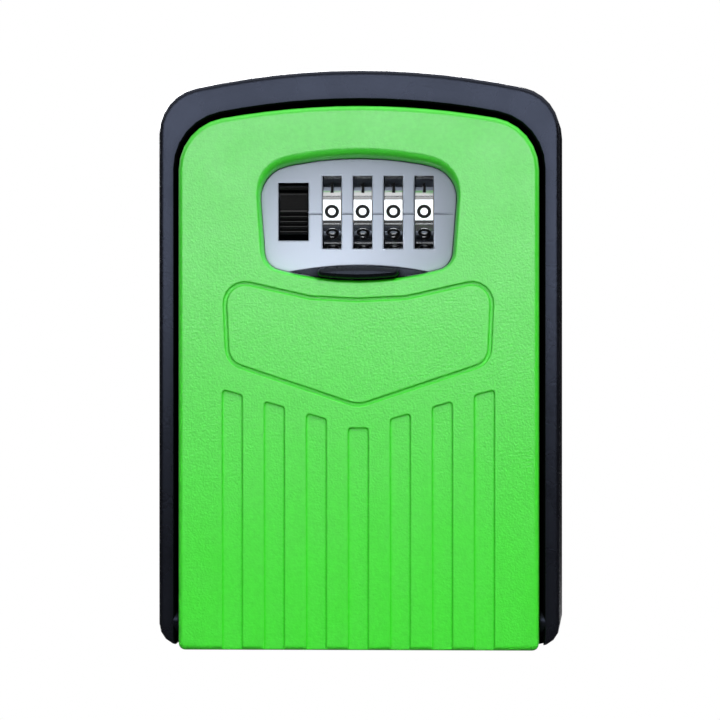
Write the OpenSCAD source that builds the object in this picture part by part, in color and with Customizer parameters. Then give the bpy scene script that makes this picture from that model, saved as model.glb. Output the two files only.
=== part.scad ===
// Wall key safe with a four-dial combination lock.
// Millimetres. X runs to the right, Z up, and the front faces -Y.
// The origin is the centre of the wall screws on the wall plane.
// Depths are measured forward from the wall, so a depth of 46 lies at y = -46.

/* [Housing] */
// Overall width of the housing
housing_w = 100; // [94:1:110]
// Height of the housing's crown above the origin
housing_top = 71.6; // [69:0.2:78]
// Foot of the housing below the origin
housing_bottom = 71.9; // [66:0.5:80]
// Depth of the housing from wall to rim
housing_depth = 46; // [44:0.5:54]
// Radius of the crowned top edge
housing_crown_r = 192; // [150:1:260]
// Radius of the two top corners
housing_corner_r = 11.5; // [9:0.5:14]
// Radius of the two bottom corners
housing_foot_r = 5.5; // [3:0.5:6]
// Rounding of the outer rim edge
housing_edge_r = 1.3; // [0.8:0.1:2.2]
// Chamfer on the inner rim edge
rim_chamfer = 0.5; // [0.2:0.1:0.8]
// Thickness of the side walls
side_wall = 4.1; // [3:0.1:5]
// Thickness of the top wall at the rim
top_wall = 7.5; // [5:0.1:9]
// Thickness of the back wall
back_wall = 3.5; // [3:0.1:5]
// Thickness of the floor
floor_wall = 3; // [2:0.1:4]
// Relief behind the back wall, inside its border
back_relief = 1.2; // [0.5:0.1:1.6]
// Width of the border that meets the wall
back_border = 5; // [4:0.5:8]

/* [Wall screws] */
// Spacing of the four screw holes across
screw_span_x = 56; // [44:1:66]
// Spacing of the four screw holes up
screw_span_z = 84; // [70:1:96]
// Radius of a wall screw hole
screw_hole_r = 2.5; // [2:0.1:3]
// Radius of the boss round a wall screw hole
screw_boss_r = 6.5; // [5:0.5:8]

/* [Door] */
// Gap between door and housing at each side
side_gap = 1.1; // [0.6:0.1:1.6]
// Gap between door and housing at the top
top_gap = 1.6; // [1:0.1:2.4]
// How far the door stands proud of the rim
door_proud = 4; // [3:0.1:6]
// How far the door's foot hangs below the housing
door_drop = 0.8; // [0.5:0.1:2]
// Radius of the door's crowned top edge
door_crown_r = 195; // [150:1:260]
// Radius of the door's top corners
door_corner_r = 13; // [10:0.5:15]
// Radius of the door's bottom corners
door_foot_r = 1.6; // [1.2:0.1:3]
// Rounding of the door's front edge
door_edge_r = 1.2; // [0.8:0.1:1.5]
// Thickness of the front panel
door_panel = 3; // [2.4:0.1:4]
// Thickness of the skirt behind the panel
skirt_wall = 2.2; // [1.6:0.1:3]
// Depth of the skirt behind the panel
skirt_depth = 7; // [5:0.1:8]

/* [Door relief] */
// Width of the groove round the chevron field
groove_w = 1; // [0.8:0.1:1.6]
// Depth of that groove
groove_depth = 0.5; // [0.4:0.1:1]
// Number of recessed strips
strip_count = 7; // [5:2:9]
// Spacing of the strips
strip_pitch = 10.45; // [9.6:0.05:11]
// Width of a strip
strip_w = 5.1; // [4:0.1:6]
// Depth of a strip
strip_depth = 0.6; // [0.5:0.1:1.2]
// Top of the middle strip below the origin
strip_top = 17.4; // [15:0.1:20]
// Rise of the strip tops from one strip to the next outward
strip_rise = 2.95; // [2:0.05:3.5]

/* [Dials] */
// Number of dials
dial_count = 4; // [3:1:4]
// Spacing of the dials
dial_pitch = 7.65; // [7.3:0.05:8.2]
// Width of a dial
dial_w = 4.5; // [4:0.1:4.8]
// Radius of a dial over its ridges
dial_r = 10.05; // [9:0.05:10.6]
// Number of digits on a dial
digit_count = 10; // [10:1:10]
// Width of the groove between two digits
dial_groove_w = 1.1; // [0.8:0.1:1.3]
// Depth of that groove below the dial's corners
dial_groove_depth = 0.5; // [0.4:0.05:0.7]
// Height of the dial axis above the origin
dial_z = 36.7; // [34:0.1:38]
// Middle of the dial row to the right of the origin
dial_row_x = 4.83; // [3:0.1:6]

/* [Dial plate] */
// Height of the door window above the dial axis
window_up = 12.8; // [12:0.1:15]
// Height of the door window below the dial axis
window_down = 17.5; // [15.5:0.1:18]
// Window edge beyond the last dial slot
window_margin = 6.2; // [4.6:0.1:7]
// Narrowing of each window side from top to bottom
window_taper = 1.8; // [0:0.1:2.5]
// Radius of the window's upper corners
window_top_r = 8; // [5:0.5:9]
// Radius of the window's lower corners
window_foot_r = 4.5; // [3:0.5:6]
// Width of the sloped border above the window
flare_top = 2.6; // [1.5:0.1:3.5]
// Width of the sloped border beside the window
flare_side = 1.1; // [0.6:0.1:2]
// Width of the sloped border under the window
flare_bottom = 0.7; // [0.4:0.1:1.5]
// Rise of the raised pad above the plate's flange
pad_rise = 1; // [0.6:0.1:1.6]
// Thickness of the plate's flange
plate_t = 1.5; // [1:0.1:2]
// Skin left over the pocket behind the pad
pad_skin = 1.1; // [0.8:0.1:1.4]
// Gap between the pad and the window
pad_gap = 0.15; // [0.1:0.05:0.4]
// Width of a dial slot
slot_w = 4.8; // [4.7:0.05:5.2]
// Top of a dial slot above the dial axis
slot_up = 8.5; // [7.5:0.1:9.5]
// Foot of a dial slot below the dial axis
slot_down = 9.6; // [8.5:0.1:9.9]
// Bevel round the dial slots and the slider's window
slot_bevel = 0.3; // [0.1:0.05:0.4]
// Width of the index line
index_w = 0.5; // [0.3:0.05:0.8]
// Depth of the index line
index_depth = 0.5; // [0.2:0.05:0.6]
// Drop of the index line below the dial axis
index_drop = 0.9; // [0:0.1:1.5]
// Rise of the pad's hollow lower edge at its middle
pad_hollow = 3.9; // [3:0.1:5]

/* [Slider] */
// Distance of the slider from the first dial
slider_offset = 9.6; // [9.2:0.1:10.4]
// Width of the slider's window
slider_slot_w = 7.55; // [7:0.05:7.8]
// Top of the slider's window above the dial axis
slider_slot_up = 6.8; // [6:0.1:8]
// Foot of the slider's window below the dial axis
slider_slot_down = 7.6; // [6:0.1:8]
// Travel of the slider and of the latch bolt
slider_travel = 4; // [3:0.1:4.4]
// Number of grip ribs on the slider
rib_count = 5; // [4:1:5]
// Spacing of the grip ribs
rib_pitch = 1.25; // [1.1:0.05:1.3]

/* [Lock case] */
// Thickness of the case walls
case_wall = 2; // [1.6:0.1:2.6]
// Thickness of the rear cover
cover_t = 1.5; // [1.2:0.1:2]
// Radius of the code shaft
shaft_r = 1.5; // [1.3:0.05:1.7]
// Radius of a code sleeve's hub
hub_r = 2.8; // [2.5:0.05:3]
// Radius of a code sleeve's clutch flange
clutch_r = 5.7; // [5.2:0.1:5.9]
// Radius of a code sleeve's gate disc
gate_r = 8.2; // [7.6:0.1:8.6]
// Thickness of a gate disc
gate_t = 1; // [0.8:0.05:1.2]
// Width of a gate
gate_w = 1.8; // [1.6:0.1:2.2]
// Radius at the foot of a gate
gate_foot_r = 3.4; // [3.2:0.1:4]
// Thickness of the fence plate
fence_t = 1.2; // [1:0.1:1.4]
// Thickness of the latch bolt
bolt_t = 2.5; // [2:0.1:3]
// Width of the bolt's tongue
tongue_w = 16; // [12:0.5:18]

/* [Hinge] */
// Radius of the hinge pin
pin_r = 1.5; // [1.2:0.05:1.8]
// Distance of the hinge axis behind the housing's rim
pin_set = 3.5; // [3.2:0.1:4]
// Height of the hinge axis above the door's foot
pin_rise = 6.7; // [6.2:0.1:8]
// Wall of the door's hinge barrels
barrel_wall = 2; // [1.6:0.1:2.2]
// Length of each hinge barrel
barrel_l = 14; // [10:1:18]

/* [Finger pull] */
// Width of the pull's grip
pull_w = 23; // [18:0.5:24]
// How far the grip stands proud of the door
pull_proud = 1.6; // [0.8:0.1:2.5]

/* [Springs] */
// Wire radius of the coil springs
wire_r = 0.25; // [0.2:0.05:0.3]
// Coil radius of the slider and bolt springs
coil_r = 1.3; // [1.1:0.05:1.4]
// Number of turns in the slider and bolt springs
coil_turns = 7; // [5:1:9]

/* [Hidden] */
$fn = 48;

// Clearances
run_gap = 0.05;      // a turning or sliding fit, on the radius
free_gap = 0.3;      // between parts that pass each other
side_play = 0.15;    // beside a dial, a slider or a sleeve
eps = 0.01;          // overrun of a cut

black = [0.13, 0.14, 0.17];
green = [0.36, 0.84, 0.33];
silver = [0.66, 0.71, 0.78];
steel = [0.75, 0.76, 0.78];
zinc = [0.55, 0.56, 0.58];
brass = [0.8, 0.65, 0.3];

// Housing
inner_w = housing_w - 2 * side_wall;
inner_top = housing_top - top_wall;
inner_crown_r = housing_crown_r - top_wall;
inner_corner_r = housing_corner_r + 2.4;

// Door
door_w = inner_w - 2 * side_gap;
door_top = inner_top - top_gap;
door_bottom = -housing_bottom - door_drop;
door_front = housing_depth + door_proud;
door_inside = door_front - door_panel;
skirt_back = door_inside - skirt_depth;
pin_z = door_bottom + pin_rise;
pin_depth = housing_depth - pin_set;
barrel_r = pin_r + barrel_wall;

// Door stop rail inside the housing, just behind the skirt
rail_front = skirt_back - free_gap;
rail_t = 2;
rail_w = side_gap + skirt_wall - 1;
rail_foot = pin_z + 8;

// The door's foot meets the front of the housing's floor when it hangs wide open
floor_front = pin_depth - pin_rise - free_gap;

// Dials and the plate over them
dial_flat = dial_r * cos(180 / digit_count);
pad_front = door_inside + pad_rise;
pad_back = pad_front - pad_skin;
plate_back = door_inside - plate_t;
dial_depth = pad_front - dial_flat;
first_x = dial_row_x - (dial_count - 1) / 2 * dial_pitch;
last_x = first_x + (dial_count - 1) * dial_pitch;
slider_x = first_x - slider_offset;
window_w = 2 * (last_x + slot_w / 2 + window_margin);
window_top = dial_z + window_up;
window_foot = dial_z - window_down;
window_crown_r = 85;
window_sag_r = 76;
hollow_r = 93;

// Foot of the window and hollow lower edge of the pad, at x
function sag_z(x) = window_foot + x * x / (2 * window_sag_r);
function hollow_z(x) = window_foot + pad_hollow - x * x / (2 * hollow_r);

// Finger pull
pull_gap = 0.2;
grip_inset = 0.2;
pull_z = (sag_z(0) + hollow_z(0)) / 2;
stud_r = 0.8;
pull_studs = [-pull_w / 4, pull_w / 4];

// Code sleeves: gate disc and clutch share the gap between two dials
dial_gap = dial_pitch - dial_w;
disc_gap = 0.2;
reset_travel = dial_gap - gate_t - 2 * disc_gap - side_play;
clutch_depth = reset_travel - disc_gap;
clutch_t = clutch_depth - 2 * 0.1;
clutch_pocket_r = clutch_r + free_gap;
lug_r = clutch_r + 0.7;
lug_w = 1.4;
sleeve_l = dial_pitch - 0.1;
sleeve_start = -dial_w / 2 - 0.35;

// Lock case
case_inner_top = dial_z + dial_r + slider_travel + 4;
case_floor = dial_z - dial_r - 2.95;
case_top = case_inner_top + case_wall;
case_foot = case_floor - case_wall - 0.5;
case_back = dial_depth - dial_r - 0.75;
cover_back = case_back - cover_t;

// Shaft stack, from the slider's side to the far wall
clip_t = 0.6;
clip_x = first_x + sleeve_start - side_play / 2 - clip_t;
partition_right = clip_x - side_play;
partition_left = partition_right - 1.8;
lever_t = 2.2;
lever_right = partition_left - reset_travel - 0.2;
lever_left = lever_right - lever_t;
sleeve_end = last_x + sleeve_start + sleeve_l;
right_inner = sleeve_end + reset_travel + 0.4;
spring_seat = right_inner + 1.5;
case_right = spring_seat + 2;
shaft_end = case_right - 0.2;

// Slider, fence and bolt, stacked one behind the other
button_w = slider_slot_w + 0.65;
button_front = pad_back - side_play;
button_back = button_front - 3.5;
button_top = dial_z + slider_slot_up + 1.5;
button_foot = dial_z - slider_slot_down - 0.8;
tail_right = lever_left - 0.4;
tail_left = tail_right - 4.7;
tail_foot = dial_z - 5;
fence_front = dial_depth + fence_t / 2;
fence_back = dial_depth - fence_t / 2;
fence_foot = dial_z + dial_r + slider_travel + free_gap;
fence_top = fence_foot + 3;
finger_tip = dial_z + gate_r + 0.4;
stem_x = (tail_left + tail_right) / 2;
bolt_front = fence_back - 1.4;
bolt_back = bolt_front - bolt_t;
bolt_right = tail_right - 0.1;
bolt_left = bolt_right - 5.6;
left_inner = bolt_left - free_gap;
case_left = left_inner - case_wall;
bolt_top = case_top + 1.5;
bolt_foot = tail_foot + 2;
lug_low = dial_z + 8;
lug_h = 2;
lug_left = tail_left + 0.6;
lug_right = lug_left + 2;
bolt_shoulder = lug_low - slider_travel - 0.1;

// Strike: it hangs in front of the raised tongue
strike_back = bolt_front + 0.35;
strike_front = skirt_back - 0.4;
strike_foot = bolt_top + 1;

// Screws: case to door, and rear cover to case
flange_front = door_inside - 3.5;
flange_t = 2;
post_r = 3.2;
post_x = window_w / 2 + 7.9;
post_low = case_foot + 3.6;
post_high = case_top - 4.2;
screw_r = 1.25;
screw_head_r = 2.3;
screw_head_t = 1.5;
case_screw_grip = 4.2;
cover_screw_grip = 5;
cover_boss_r = 2.7;
cover_screw_xs = [case_left - 0.6, case_right + 0.6];
cover_screw_zs = [case_foot + 6, case_top - 6];

// Leaf spring under the dials
leaf_t = 0.35;
leaf_base_z = case_floor;
leaf_w = dial_w - 1;
leaf_land = 4.4;
leaf_screw_r = 0.8;
leaf_screw_head_r = 1.5;
leaf_screw_head_t = 0.8;
leaf_screw_grip = 2;
leaf_screw_depth = case_back + leaf_land / 2;
leaf_screw_xs = [first_x + dial_pitch / 2, last_x - dial_pitch / 2];
nose_r = dial_groove_w / 2 - 0.2;

// Points on an arc, from angle a to angle b in n steps
function arc(x, z, r, a, b, n) =
    [for (k = [0 : n]) let (t = a + (b - a) * k / n) [x + r * cos(t), z + r * sin(t)]];

// Outline with a crowned top and four rounded corners, drawn in by d
function crowned(w, top, bottom, crown_r, corner_r, foot_r, d = 0) =
    let (corner_x = w / 2 - corner_r,
         crown_z = top - crown_r,
         corner_z = crown_z + sqrt(pow(crown_r - corner_r, 2) - pow(corner_x, 2)),
         a = atan2(corner_z - crown_z, corner_x),
         step = (180 - 2 * a) / 12,
         r = max(foot_r - d, 0.3),
         foot_x = w / 2 - d - r,
         foot_z = bottom + d + r)
    concat(arc(corner_x, corner_z, corner_r - d, 0, a, 6),
           arc(0, crown_z, crown_r - d, a + step, 180 - a - step, 10),
           arc(-corner_x, corner_z, corner_r - d, 180 - a, 180, 6),
           arc(-foot_x, foot_z, r, 180, 270, 4),
           arc(foot_x, foot_z, r, 270, 360, 4));

function unit(v) = v / norm(v);

// Rounded corner at c, between the points p and n
function fillet(p, c, n, r) =
    let (u = unit(p - c), v = unit(n - c),
         half = acos(u * v) / 2,
         centre = c + unit(u + v) * r / sin(half),
         s = c + u * r / tan(half) - centre,
         e = c + v * r / tan(half) - centre,
         a = atan2(s[1], s[0]),
         turn = atan2(s[0] * e[1] - s[1] * e[0], s * e))
    arc(centre[0], centre[1], r, a, a + turn, 6);

// Closed outline from corners [x, z, radius]; a radius of 0 keeps the corner sharp
function rounded(corners) =
    let (n = len(corners))
    [for (i = [0 : n - 1])
        let (p = corners[(i + n - 1) % n], c = corners[i], q = corners[(i + 1) % n])
        each (c[2] > 0
            ? fillet([p[0], p[1]], [c[0], c[1]], [q[0], q[1]], c[2])
            : [[c[0], c[1]]])];

// The same corners moved in by d, with their radii to match
function drawn_in(corners, d) =
    let (n = len(corners))
    [for (i = [0 : n - 1])
        let (p = corners[(i + n - 1) % n], c = corners[i], q = corners[(i + 1) % n],
             u = unit([p[0] - c[0], p[1] - c[1]]), v = unit([q[0] - c[0], q[1] - c[1]]),
             side = sign(v[0] * u[1] - v[1] * u[0]),
             half = acos(u * v) / 2,
             m = [c[0], c[1]] + (half > 89.9
                 ? [v[1], -v[0]] * -d
                 : side * unit(u + v) * d / sin(half)))
        [m[0], m[1], c[2] > 0 ? c[2] - side * d : 0]];

// A flat outline in X and Z made solid between two depths
module slab(back, front) {
    translate([0, -back, 0]) rotate([90, 0, 0]) linear_extrude(front - back) children();
}

// A cylinder along Y between two depths
module post(x, z, r, back, front) {
    translate([x, -back, z]) rotate([90, 0, 0]) cylinder(r = r, h = front - back);
}

// A cylinder along X between two places
module rod(left, right, depth, z, r) {
    translate([left, -depth, z]) rotate([0, 90, 0]) cylinder(r = r, h = right - left);
}

// A block by its left, right, back and front depth, foot and top
module block(left, right, back, front, foot, top) {
    translate([left, -front, foot]) cube([right - left, front - back, top - foot]);
}

// Housing outline, drawn in by d
module housing_outline(d = 0) {
    polygon(crowned(housing_w, housing_top, -housing_bottom, housing_crown_r, housing_corner_r,
        housing_foot_r, d));
}

// Inner outline of the rim, drawn in by d, with its foot at the given height
module rim_outline(d, foot) {
    polygon(crowned(inner_w, inner_top, foot, inner_crown_r, inner_corner_r, 1, d));
}

// Door outline, drawn in by d
module door_outline(d = 0) {
    polygon(crowned(door_w, door_top, door_bottom, door_crown_r, door_corner_r, door_foot_r, d));
}

// Corners of the door window, grown by top, side and foot, its crown and sag in short steps
function window_corners(top = 0, side = 0, foot = 0) =
    let (half_top = window_w / 2 + side,
         half_foot = half_top - window_taper,
         steps = [0.75, 0.5, 0.25, 0, -0.25, -0.5, -0.75])
    [[half_top, window_top + top - pow(half_top, 2) / (2 * window_crown_r), window_top_r + side],
     for (t = steps) let (x = t * (half_top - window_top_r / 2))
         [x, window_top + top - x * x / (2 * window_crown_r), 0],
     [-half_top, window_top + top - pow(half_top, 2) / (2 * window_crown_r), window_top_r + side],
     [-half_foot, sag_z(half_foot) - foot, window_foot_r + side],
     for (t = steps) let (x = -t * (half_foot - window_foot_r / 2)) [x, sag_z(x) - foot, 0],
     [half_foot, sag_z(half_foot) - foot, window_foot_r + side]];

// Cast housing: open front, open foot in front of the floor, hinge bosses and strike
module housing() color(black) {
    wall_screws = [for (x = [-1, 1], z = [-1, 1]) [x * screw_span_x / 2, z * screw_span_z / 2]];
    difference() {
        union() {
            difference() {
                hull() {
                    slab(0, housing_depth - housing_edge_r) housing_outline();
                    for (a = [30 : 30 : 90])
                        slab(back_wall, housing_depth - housing_edge_r * (1 - sin(a)))
                            housing_outline(housing_edge_r * (1 - cos(a)));
                }
                cavity();
                slab(-1, back_relief) housing_outline(back_border);
            }
            strike();
            for (s = [-1, 1]) hinge_boss(s);
            for (p = wall_screws) post(p[0], p[1], screw_boss_r, 0, back_wall + 1.5);
        }
        for (p = wall_screws) post(p[0], p[1], screw_hole_r, -1, back_wall + 3);
        rod(-housing_w, housing_w, pin_depth, pin_z, pin_r);
    }
}

// Space inside the housing, which leaves the rail where the shut door's skirt rests
module cavity() {
    floor_z = floor_wall - housing_bottom;
    open_z = -housing_bottom - 5;
    slab(back_wall, rail_front - rail_t) rim_outline(0, floor_z);
    slab(rail_front - rail_t - 1, rail_front + 1) rim_outline(rail_w, rail_foot - rail_w);
    slab(floor_front, housing_depth + 1) intersection() {
        rim_outline(0, open_z);
        translate([-housing_w, open_z]) square([2 * housing_w, rail_foot - open_z]);
    }
    slab(rail_front, housing_depth + 1) rim_outline(0, rail_foot - 1);
    hull() {
        slab(housing_depth - rim_chamfer, housing_depth) rim_outline(0, open_z);
        slab(housing_depth, housing_depth + 1) rim_outline(-rim_chamfer, open_z);
    }
}

// Strike that hangs from the top wall in front of the raised tongue
module strike() {
    slab(strike_back, strike_front) intersection() {
        translate([bolt_left - 2, strike_foot]) square([tongue_w + 4, housing_top - strike_foot]);
        housing_outline(top_wall / 2);
    }
}

// Boss round the pin on the inside of a side wall
module hinge_boss(s) {
    face = door_w / 2 + free_gap;
    root = inner_w / 2 + side_wall / 2;
    rod(s > 0 ? face : -root, s > 0 ? root : -face, pin_depth, pin_z, barrel_r);
}

// Steel pin through both side walls and both barrels
module hinge_pin() color(steel)
    rod(-housing_w / 2 + 0.5, housing_w / 2 - 0.5, pin_depth, pin_z, pin_r);

// Door front: rounded panel, skirt, window, relief, hinge barrels and screw posts
module door_cover() color(green) difference() {
    union() {
        difference() {
            hull() {
                slab(skirt_back, door_front - door_edge_r) door_outline();
                for (a = [22.5 : 22.5 : 90])
                    slab(skirt_back, door_front - door_edge_r * (1 - sin(a)))
                        door_outline(door_edge_r * (1 - cos(a)));
            }
            slab(skirt_back - 1, door_inside) door_outline(skirt_wall);
            window_cut();
            chevron_groove();
            strips();
        }
        for (s = [-1, 1]) barrel(s);
        for (x = [-post_x, post_x], z = [post_low, post_high])
            post(x, z, post_r, flange_front, door_inside + eps);
    }
    rod(-door_w, door_w, pin_depth, pin_z, pin_r + run_gap);
    for (x = [-post_x, post_x], z = [post_low, post_high])
        post(x, z, screw_r, flange_front - 1, door_inside + 1);
}

// Window through the panel, its border rounded outward in five steps
module window_cut() {
    for (a = [0 : 18 : 72]) hull() for (b = [a, a + 18]) {
        grow = 1 - cos(b);
        depth = door_inside + door_panel * sin(b);
        slab(b == 0 ? door_inside - 1 : depth - eps, b == 90 ? depth + 1 : depth)
            polygon(rounded(window_corners(flare_top * grow, flare_side * grow, flare_bottom * grow)));
    }
}

// Chevron field: its corners, clockwise from the top right
function chevron_corners() =
    [[34, 20.4, 5.5], [12, 15.4, 0], [0, 14.8, 0], [-12, 15.4, 0], [-34, 20.4, 5.5],
     [-33, -1.6, 5.5], [0, -12.6, 7.5], [33, -1.6, 5.5]];

module chevron_groove() {
    slab(door_front - groove_depth, door_front + 1) difference() {
        polygon(rounded(chevron_corners()));
        polygon(rounded(drawn_in(chevron_corners(), groove_w)));
    }
}

// Strips that run out through the door's foot, their tops in a chevron
module strips() {
    middle = (strip_count - 1) / 2;
    slab(door_front - strip_depth, door_front + 1) for (i = [-middle : middle]) {
        x = i * strip_pitch;
        top = -strip_top + abs(i) * strip_rise;
        lean = sign(i) * strip_rise * strip_w / strip_pitch / 2;
        polygon(rounded([[x - strip_w / 2, door_bottom - 5, 0], [x + strip_w / 2, door_bottom - 5, 0],
            [x + strip_w / 2, top + lean, 0.8], [x - strip_w / 2, top - lean, 0.8]]));
    }
}

// Hinge barrel with a web that joins it to the panel and the foot
module barrel(s) {
    outer = door_w / 2 - eps;
    left = s > 0 ? outer - barrel_l : -outer;
    rod(left, left + barrel_l, pin_depth, pin_z, barrel_r);
    block(left, left + barrel_l, pin_depth, door_inside + eps, pin_z - barrel_r, pin_z + barrel_r);
    block(left, left + barrel_l, pin_depth - 1.4, door_inside, door_bottom + door_foot_r, pin_z);
}

// Silver plate with a pillowed pad, dial slots, the slider's window and the index line
module dial_plate() color(silver) difference() {
    union() {
        slab(plate_back, door_inside) plate_outline();
        difference() {
            hull() for (s = [[0, 0.4], [0.6, 0.58], [1.5, 0.75], [2.7, 0.88], [4.1, 0.96], [5.6, 1]])
                slab(plate_back, door_inside + s[1] * pad_rise)
                    polygon(rounded(drawn_in(window_corners(), pad_gap + s[0])));
            slab(door_inside, pad_front + 1)
                translate([0, hollow_z(0) - hollow_r]) circle(hollow_r, $fn = 180);
        }
    }
    slab(plate_back - 1, pad_back) intersection() {
        polygon(rounded(drawn_in(window_corners(), pad_gap + 1)));
        translate([-window_w, window_foot + pad_hollow + 0.6]) square([2 * window_w, 60]);
    }
    for (i = [0 : dial_count - 1])
        plate_slot(first_x + i * dial_pitch, slot_w, dial_z - slot_down, dial_z + slot_up);
    plate_slot(slider_x, slider_slot_w, dial_z - slider_slot_down, dial_z + slider_slot_up);
    block(slider_x, window_w / 2, pad_front - index_depth, pad_front + 1,
        dial_z - index_drop - index_w / 2, dial_z - index_drop + index_w / 2);
    for (x = pull_studs) post(x, pull_z, stud_r + run_gap, plate_back - 1, door_inside + 1);
}

// Slot through the plate with a bevelled front edge
module plate_slot(x, w, foot, top) {
    block(x - w / 2, x + w / 2, plate_back, pad_front + 1, foot, top);
    hull() for (d = [0, slot_bevel])
        block(x - w / 2 - d, x + w / 2 + d, pad_front - slot_bevel + d, pad_front + 1, foot - d, top + d);
}

module plate_outline() {
    polygon(rounded([for (c = [[1, 1], [-1, 1], [-1, -1], [1, -1]])
        [c[0] * (window_w / 2 + 3), c[1] > 0 ? case_top : case_foot - 1, 3]]));
}

// Finger pull: a plate in the hollow under the pad, and a grip that stands out past the door
module finger_pull() color(black) {
    slab(door_inside, door_inside + 1) intersection() {
        polygon(rounded(drawn_in(window_corners(), pad_gap)));
        translate([0, hollow_z(0) - hollow_r - pull_gap]) circle(hollow_r, $fn = 180);
    }
    hull() for (s = [[0, 1], [0.15, 0.7], [0.5, 0.3], [1.1, 0]])
        slab(door_inside, door_front + pull_proud - s[1]) polygon(rounded(drawn_in(grip_corners(), s[0])));
    for (x = pull_studs) post(x, pull_z, stud_r, plate_back, door_inside + 0.5);
}

// Grip: its top follows the pad's hollow edge and its foot follows the window's
function grip_corners() =
    let (half = pull_w / 2,
         foot_half = half - 2.2,
         down = pull_gap + grip_inset,
         up = pad_gap + grip_inset)
    [for (t = [1, 0.67, 0.33, 0, -0.33, -0.67, -1])
         [t * half, hollow_z(t * half) - down, abs(t) == 1 ? 1 : 0],
     for (t = [-1, -0.67, -0.33, 0, 0.33, 0.67, 1])
         [t * foot_half, sag_z(t * foot_half) + up, abs(t) == 1 ? 1 : 0]];

// Open frame of the lock, with a mounting flange, a partition and the shaft bearings
module lock_case() color(zinc) difference() {
    union() {
        slab(case_back, plate_back) case_outline();
        slab(flange_front - flange_t, flange_front) polygon(rounded([for (c = [[1, 1], [-1, 1], [-1, -1],
            [1, -1]]) [c[0] * (post_x + 3.6), c[1] > 0 ? case_top : case_foot, 3.6]]));
        for (x = cover_screw_xs, z = cover_screw_zs) post(x, z, cover_boss_r, case_back, flange_front);
    }
    block(left_inner, partition_left, case_back - 1, plate_back + 1, case_floor, case_inner_top);
    block(partition_right, right_inner, case_back - 1, plate_back + 1, case_floor, case_inner_top);
    block(partition_left - 1, partition_right + 1, case_back - 1, plate_back + 1,
        dial_z + dial_r, case_inner_top);
    block(bolt_left - 0.2, bolt_left + tongue_w + 0.2, bolt_back - 0.2, bolt_front + 0.2,
        case_inner_top - 1, case_top + 1);
    rod(partition_left - 1, case_right + 1, dial_depth, dial_z, shaft_r + run_gap);
    rod(right_inner - 1, spring_seat, dial_depth, dial_z, hub_r + 0.2);
    for (x = [-post_x, post_x], z = [post_low, post_high])
        post(x, z, screw_r + 0.15, flange_front - flange_t - 1, flange_front + 1);
    for (x = cover_screw_xs, z = cover_screw_zs)
        post(x, z, screw_r, case_back - 1, case_back + cover_screw_grip + 1);
    for (x = leaf_screw_xs) translate([x, -leaf_screw_depth, case_floor - leaf_screw_grip - 0.2])
        cylinder(r = leaf_screw_r, h = leaf_screw_grip + 1);
}

module case_outline() {
    translate([case_left, case_foot]) square([case_right - case_left, case_top - case_foot]);
}

// Pan-head screw along Y, its head towards the wall
module screw(x, z, head_front, l) {
    difference() {
        post(x, z, screw_head_r, head_front - screw_head_t, head_front);
        for (a = [0, 90]) translate([x, -head_front + screw_head_t, z]) rotate([0, a, 0])
            cube([0.7, 1.6, 2.6], center = true);
    }
    post(x, z, screw_r, head_front - eps, head_front + l);
}

module case_screws() color(steel)
    for (x = [-post_x, post_x], z = [post_low, post_high])
        screw(x, z, flange_front - flange_t, flange_t + case_screw_grip);

// Plate that closes the lock case, with the slot for the reset lever
module rear_cover() color(black) difference() {
    union() {
        slab(cover_back, case_back) case_outline();
        for (x = cover_screw_xs, z = cover_screw_zs) post(x, z, cover_boss_r, cover_back, case_back);
    }
    block(lever_left - 0.2, lever_right + reset_travel + 0.2, cover_back - 1, case_back + 1,
        dial_z - 2.8, dial_z + 2.8);
    for (x = cover_screw_xs, z = cover_screw_zs)
        post(x, z, screw_r + 0.15, cover_back - 1, case_back + 1);
}

module rear_cover_screws() color(steel)
    for (x = cover_screw_xs, z = cover_screw_zs) screw(x, z, cover_back, cover_t + cover_screw_grip);

// Leaf spring with one finger and nose under each dial
module detent_spring() color(steel) difference() {
    union() {
        block(first_x - leaf_w / 2, last_x + leaf_w / 2, case_back + 0.4, case_back + leaf_land,
            leaf_base_z, leaf_base_z + leaf_t);
        for (i = [0 : dial_count - 1]) leaf_finger(first_x + i * dial_pitch);
    }
    for (x = leaf_screw_xs) translate([x, -leaf_screw_depth, leaf_base_z - leaf_t])
        cylinder(r = leaf_screw_r + 0.1, h = 3 * leaf_t);
}

module leaf_finger(x) {
    tip_z = dial_z - dial_r - nose_r - leaf_t / 2;
    root = -case_back - leaf_land + 0.1;
    translate([x - leaf_w / 2, 0, 0]) rotate([90, 0, 90]) linear_extrude(leaf_w) {
        polygon([[root, leaf_base_z], [root, leaf_base_z + leaf_t],
            [-dial_depth, tip_z + leaf_t / 2], [-dial_depth - 0.9, tip_z + leaf_t / 2],
            [-dial_depth - 0.9, tip_z - leaf_t / 2], [-dial_depth, tip_z - leaf_t / 2]]);
        translate([-dial_depth, dial_z - dial_r]) circle(nose_r);
        translate([-dial_depth - nose_r, tip_z]) square([2 * nose_r, nose_r + leaf_t / 2]);
    }
}

module detent_screws() color(steel)
    for (x = leaf_screw_xs) translate([x, -leaf_screw_depth, 0]) {
        translate([0, 0, leaf_base_z + leaf_t]) cylinder(r = leaf_screw_head_r, h = leaf_screw_head_t);
        translate([0, 0, leaf_base_z - leaf_screw_grip])
            cylinder(r = leaf_screw_r, h = leaf_screw_grip + leaf_t + eps);
    }

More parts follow.
